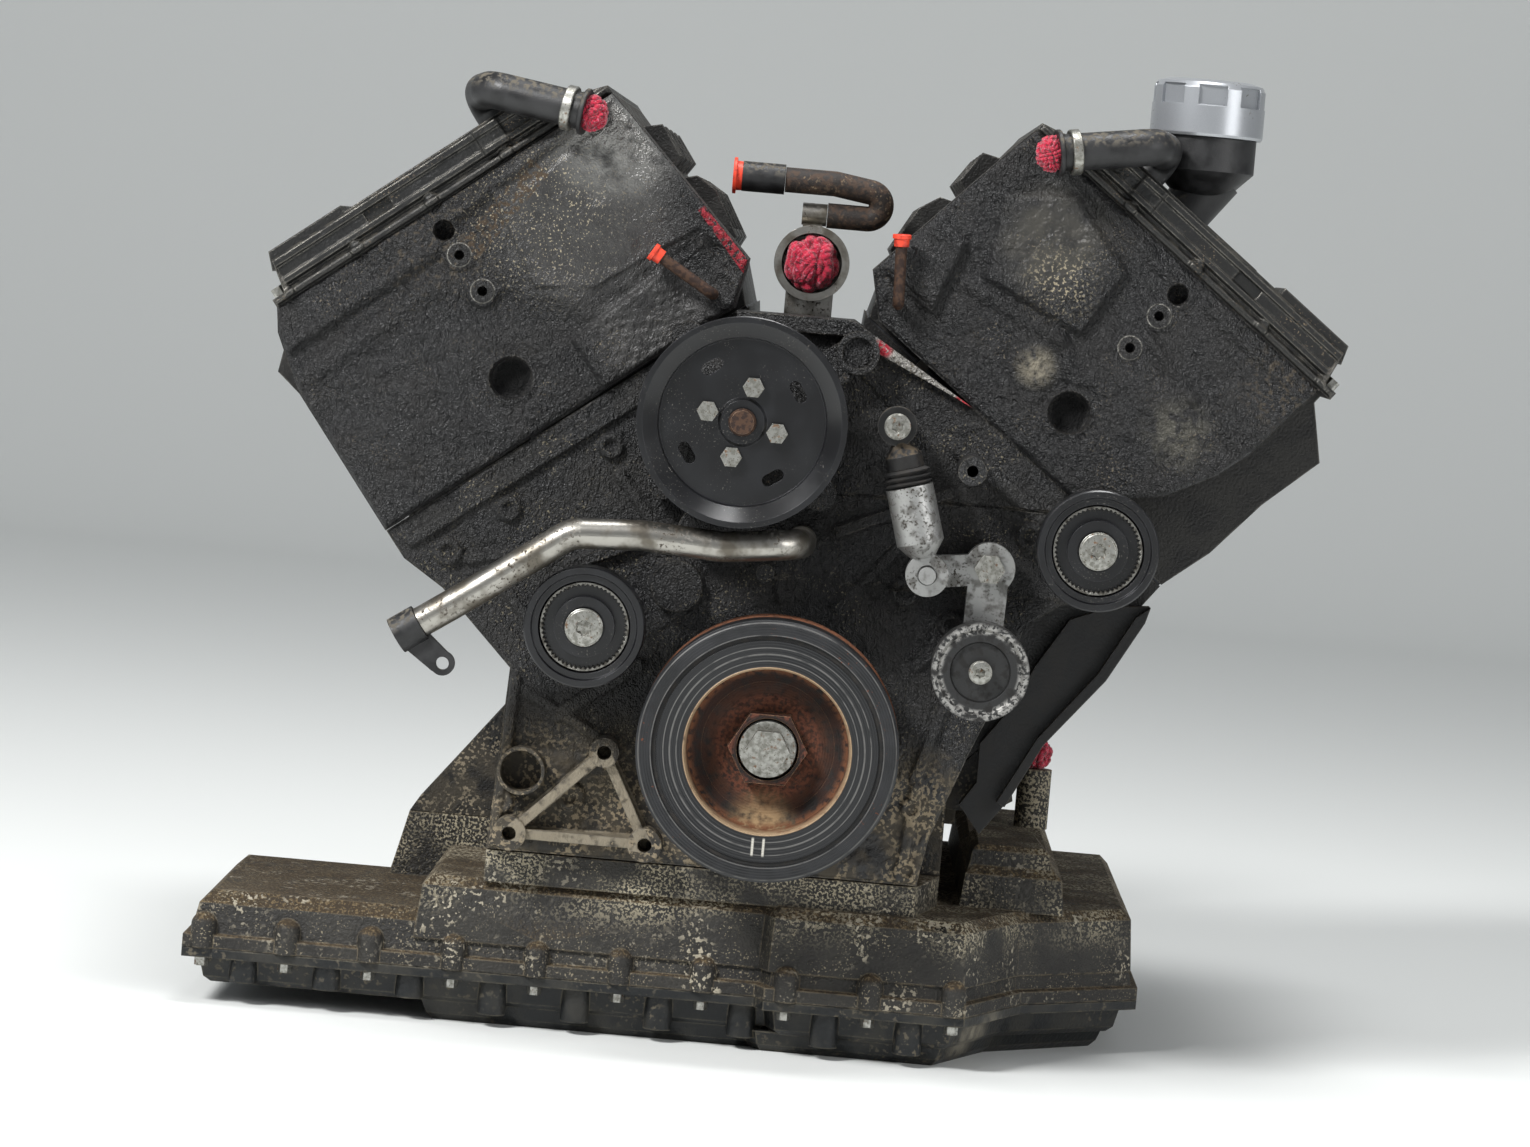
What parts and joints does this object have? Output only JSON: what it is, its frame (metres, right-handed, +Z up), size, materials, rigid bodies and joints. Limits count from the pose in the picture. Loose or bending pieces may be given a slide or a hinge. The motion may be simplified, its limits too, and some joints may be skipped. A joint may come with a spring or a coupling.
{
  "type": "engine",
  "caption": "V engine with twin overhead camshafts on each bank, front belt drive pulleys, tensioner strut, coolant pipe and a wide cast sump, stripped for transport.",
  "frame": {"origin": "on the crankshaft axis at the rear face of the flywheel flange", "axes": "+Y along the crankshaft towards the gearbox, +X to the right seen from the front, +Z up"},
  "size_m": [0.7792, 0.625, 0.71],
  "materials": {
    "block_casting": "rough, oily, dark cast aluminium",
    "head_casting": "sand cast, oily and dirty",
    "timing_casting": "cast, covered in black oily grime",
    "cover_casting": "cast, grimy, worn at the edges",
    "sump_casting": "sand cast, weathered with white corrosion",
    "tray_casting": "die cast, dirty",
    "machined_steel": "machined, oiled",
    "piston_alloy": "machined",
    "gasket_steel": "coated sheet",
    "rusty_hub": "rusty cast iron",
    "damper_black": "satin black paint",
    "rubber": "matt",
    "zinc_steel": "zinc plated, spotted with rust",
    "pump_steel": "rusty hub",
    "pulley_black": "satin black",
    "roller_steel": "worn steel",
    "arm_alloy": "die cast, dusty",
    "black_steel": "black paint, dusty",
    "bright_pipe": "bright drawn tube",
    "black_plastic": "moulded, dusty",
    "silver_plastic": "silver moulding",
    "red_plastic": "red transit plugs",
    "red_cloth": "red rag"
  },
  "bodies": {
    "engine": {"cylinder_block": "block_casting", "head_left": "head_casting", "head_right": "head_casting", "oil_pump": "timing_casting", "timing_cover_left": "timing_casting", "timing_cover_right": "timing_casting", "timing_case": "timing_casting", "water_pump_housing": "timing_casting", "cam_cover_left": "cover_casting", "cam_cover_right": "cover_casting", "upper_oil_pan": "sump_casting", "lower_oil_pan": "tray_casting", "con_rods": "machined_steel", "bearing_caps": "machined_steel", "timing_chain": "machined_steel", "head_gaskets": "gasket_steel", "top_hose": "rubber", "front_seal": "rubber", "belt_drive_bolts": "zinc_steel", "flange_bolts": "zinc_steel", "tube_stubs": "zinc_steel", "side_bracket": "black_steel", "coolant_pipe": "bright_pipe", "coolant_outlet": "bright_pipe", "hose_ends": "black_plastic", "vent_elbows": "black_plastic", "oil_filler_neck": "black_plastic", "transit_caps": "red_plastic", "transit_rags": "red_cloth"},
    "crank": {"crankshaft": "machined_steel", "crank_sprocket": "machined_steel", "damper_hub": "rusty_hub", "damper_rubber": "rubber", "damper_ring": "damper_black", "crank_bolt": "zinc_steel"},
    "valley_drive": {"valley_sprocket": "machined_steel"},
    "cam_left_inner": {"camshaft_left_inner": "machined_steel"},
    "cam_left_outer": {"camshaft_left_outer": "machined_steel"},
    "cam_right_inner": {"camshaft_right_inner": "machined_steel"},
    "cam_right_outer": {"camshaft_right_outer": "machined_steel"},
    "pump": {"water_pump_shaft": "pump_steel", "water_pump_pulley": "pulley_black", "pump_pulley_bolts": "zinc_steel"},
    "idler_left": {"idler_left": "pulley_black"},
    "idler_right": {"idler_right": "pulley_black"},
    "tensioner": {"tensioner_arm": "arm_alloy", "roller_bolt": "zinc_steel"},
    "roller": {"tensioner_roller": "roller_steel"},
    "strut_top": {"strut_rod": "black_steel", "strut_boot": "rubber"},
    "strut_bottom": {"strut_cylinder": "arm_alloy"},
    "filler_cap": {"oil_filler_cap": "silver_plastic"},
    "piston_1": {"piston_1": "piston_alloy"},
    "piston_2": {"piston_2": "piston_alloy"},
    "piston_3": {"piston_3": "piston_alloy"},
    "piston_4": {"piston_4": "piston_alloy"},
    "piston_5": {"piston_5": "piston_alloy"},
    "piston_6": {"piston_6": "piston_alloy"},
    "piston_7": {"piston_7": "piston_alloy"},
    "piston_8": {"piston_8": "piston_alloy"}
  },
  "joints": [
    {"name": "crankshaft_spin", "type": "hinge", "parent": "engine", "child": "crank", "pos_m": [0, -0.3, 0], "axis": [0, 1, 0], "continuous": true},
    {"name": "valley_sprocket_spin", "type": "hinge", "parent": "engine", "child": "valley_drive", "pos_m": [0, -0.3, 0.21504], "axis": [0, 1, 0], "continuous": true},
    {"name": "camshaft_left_inner_spin", "type": "hinge", "parent": "engine", "child": "cam_left_inner", "pos_m": [-0.21494, -0.3, 0.33926], "axis": [0, 1, 0], "continuous": true},
    {"name": "camshaft_left_outer_spin", "type": "hinge", "parent": "engine", "child": "cam_left_outer", "pos_m": [-0.27207, -0.3, 0.29543], "axis": [0, 1, 0], "continuous": true},
    {"name": "camshaft_right_inner_spin", "type": "hinge", "parent": "engine", "child": "cam_right_inner", "pos_m": [0.21494, -0.3, 0.33926], "axis": [0, 1, 0], "continuous": true},
    {"name": "camshaft_right_outer_spin", "type": "hinge", "parent": "engine", "child": "cam_right_outer", "pos_m": [0.27207, -0.3, 0.29543], "axis": [0, 1, 0], "continuous": true},
    {"name": "water_pump_spin", "type": "hinge", "parent": "engine", "child": "pump", "pos_m": [-0.0367, -0.6, 0.22304], "axis": [0, 1, 0], "continuous": true},
    {"name": "idler_left_spin", "type": "hinge", "parent": "engine", "child": "idler_left", "pos_m": [-0.1335, -0.586, 0.0722], "axis": [0, 1, 0], "continuous": true},
    {"name": "idler_right_spin", "type": "hinge", "parent": "engine", "child": "idler_right", "pos_m": [0.21466, -0.586, 0.15557], "axis": [0, 1, 0], "continuous": true},
    {"name": "tensioner_swing", "type": "hinge", "parent": "engine", "child": "tensioner", "pos_m": [0.1426, -0.55, 0.1346], "axis": [0, 1, 0], "range_deg": [0, 12], "stiffness_Nm_per_rad": 40, "springref_deg": -14.32},
    {"name": "tensioner_roller_spin", "type": "hinge", "parent": "tensioner", "child": "roller", "pos_m": [0.1414, -0.586, 0.0653], "axis": [0, 1, 0], "continuous": true},
    {"name": "strut_swing", "type": "hinge", "parent": "engine", "child": "strut_top", "pos_m": [0.0697, -0.583, 0.2289], "axis": [0, 1, 0], "range_deg": [-2, 1]},
    {"name": "strut_slide", "type": "slide", "parent": "strut_top", "child": "strut_bottom", "axis": [-0.2803, 0, 0.9599], "range_m": [0, 0.0095], "deforming": ["strut_boot"]},
    {"name": "filler_cap_turn", "type": "hinge", "parent": "engine", "child": "filler_cap", "pos_m": [0.27054, -0.47, 0.448], "axis": [0, 0, 1], "range_deg": [0, 90]},
    {"name": "piston_1_slide", "type": "slide", "parent": "engine", "child": "piston_1", "axis": [-0.6088, 0, 0.7934], "range_m": [-0.06554, 0.02046], "deforming": ["con_rods"]},
    {"name": "piston_2_slide", "type": "slide", "parent": "engine", "child": "piston_2", "axis": [-0.6088, 0, 0.7934], "range_m": [-0.00676, 0.07924]},
    {"name": "piston_3_slide", "type": "slide", "parent": "engine", "child": "piston_3", "axis": [-0.6088, 0, 0.7934], "range_m": [-0.07498, 0.01102]},
    {"name": "piston_4_slide", "type": "slide", "parent": "engine", "child": "piston_4", "axis": [-0.6088, 0, 0.7934], "range_m": [-0.01319, 0.07281]},
    {"name": "piston_5_slide", "type": "slide", "parent": "engine", "child": "piston_5", "axis": [0.6088, 0, 0.7934], "range_m": [-0.08189, 0.00411]},
    {"name": "piston_6_slide", "type": "slide", "parent": "engine", "child": "piston_6", "axis": [0.6088, 0, 0.7934], "range_m": [-0.05451, 0.03149]},
    {"name": "piston_7_slide", "type": "slide", "parent": "engine", "child": "piston_7", "axis": [0.6088, 0, 0.7934], "range_m": [-0.0216, 0.0644]},
    {"name": "piston_8_slide", "type": "slide", "parent": "engine", "child": "piston_8", "axis": [0.6088, 0, 0.7934], "range_m": [-0.00244, 0.08357]}
  ],
  "couplings": [
    {"joint": "camshaft_left_inner_spin", "follows": "crankshaft_spin", "ratio": 0.5},
    {"joint": "camshaft_right_inner_spin", "follows": "crankshaft_spin", "ratio": 0.5},
    {"joint": "camshaft_left_outer_spin", "follows": "crankshaft_spin", "ratio": -0.5},
    {"joint": "camshaft_right_outer_spin", "follows": "crankshaft_spin", "ratio": -0.5},
    {"joint": "valley_sprocket_spin", "follows": "crankshaft_spin", "ratio": -0.93333},
    {"joint": "strut_swing", "follows": "tensioner_swing", "ratio": -0.10987},
    {"joint": "strut_slide", "follows": "tensioner_swing", "m_per_rad": 0.04248}
  ]
}
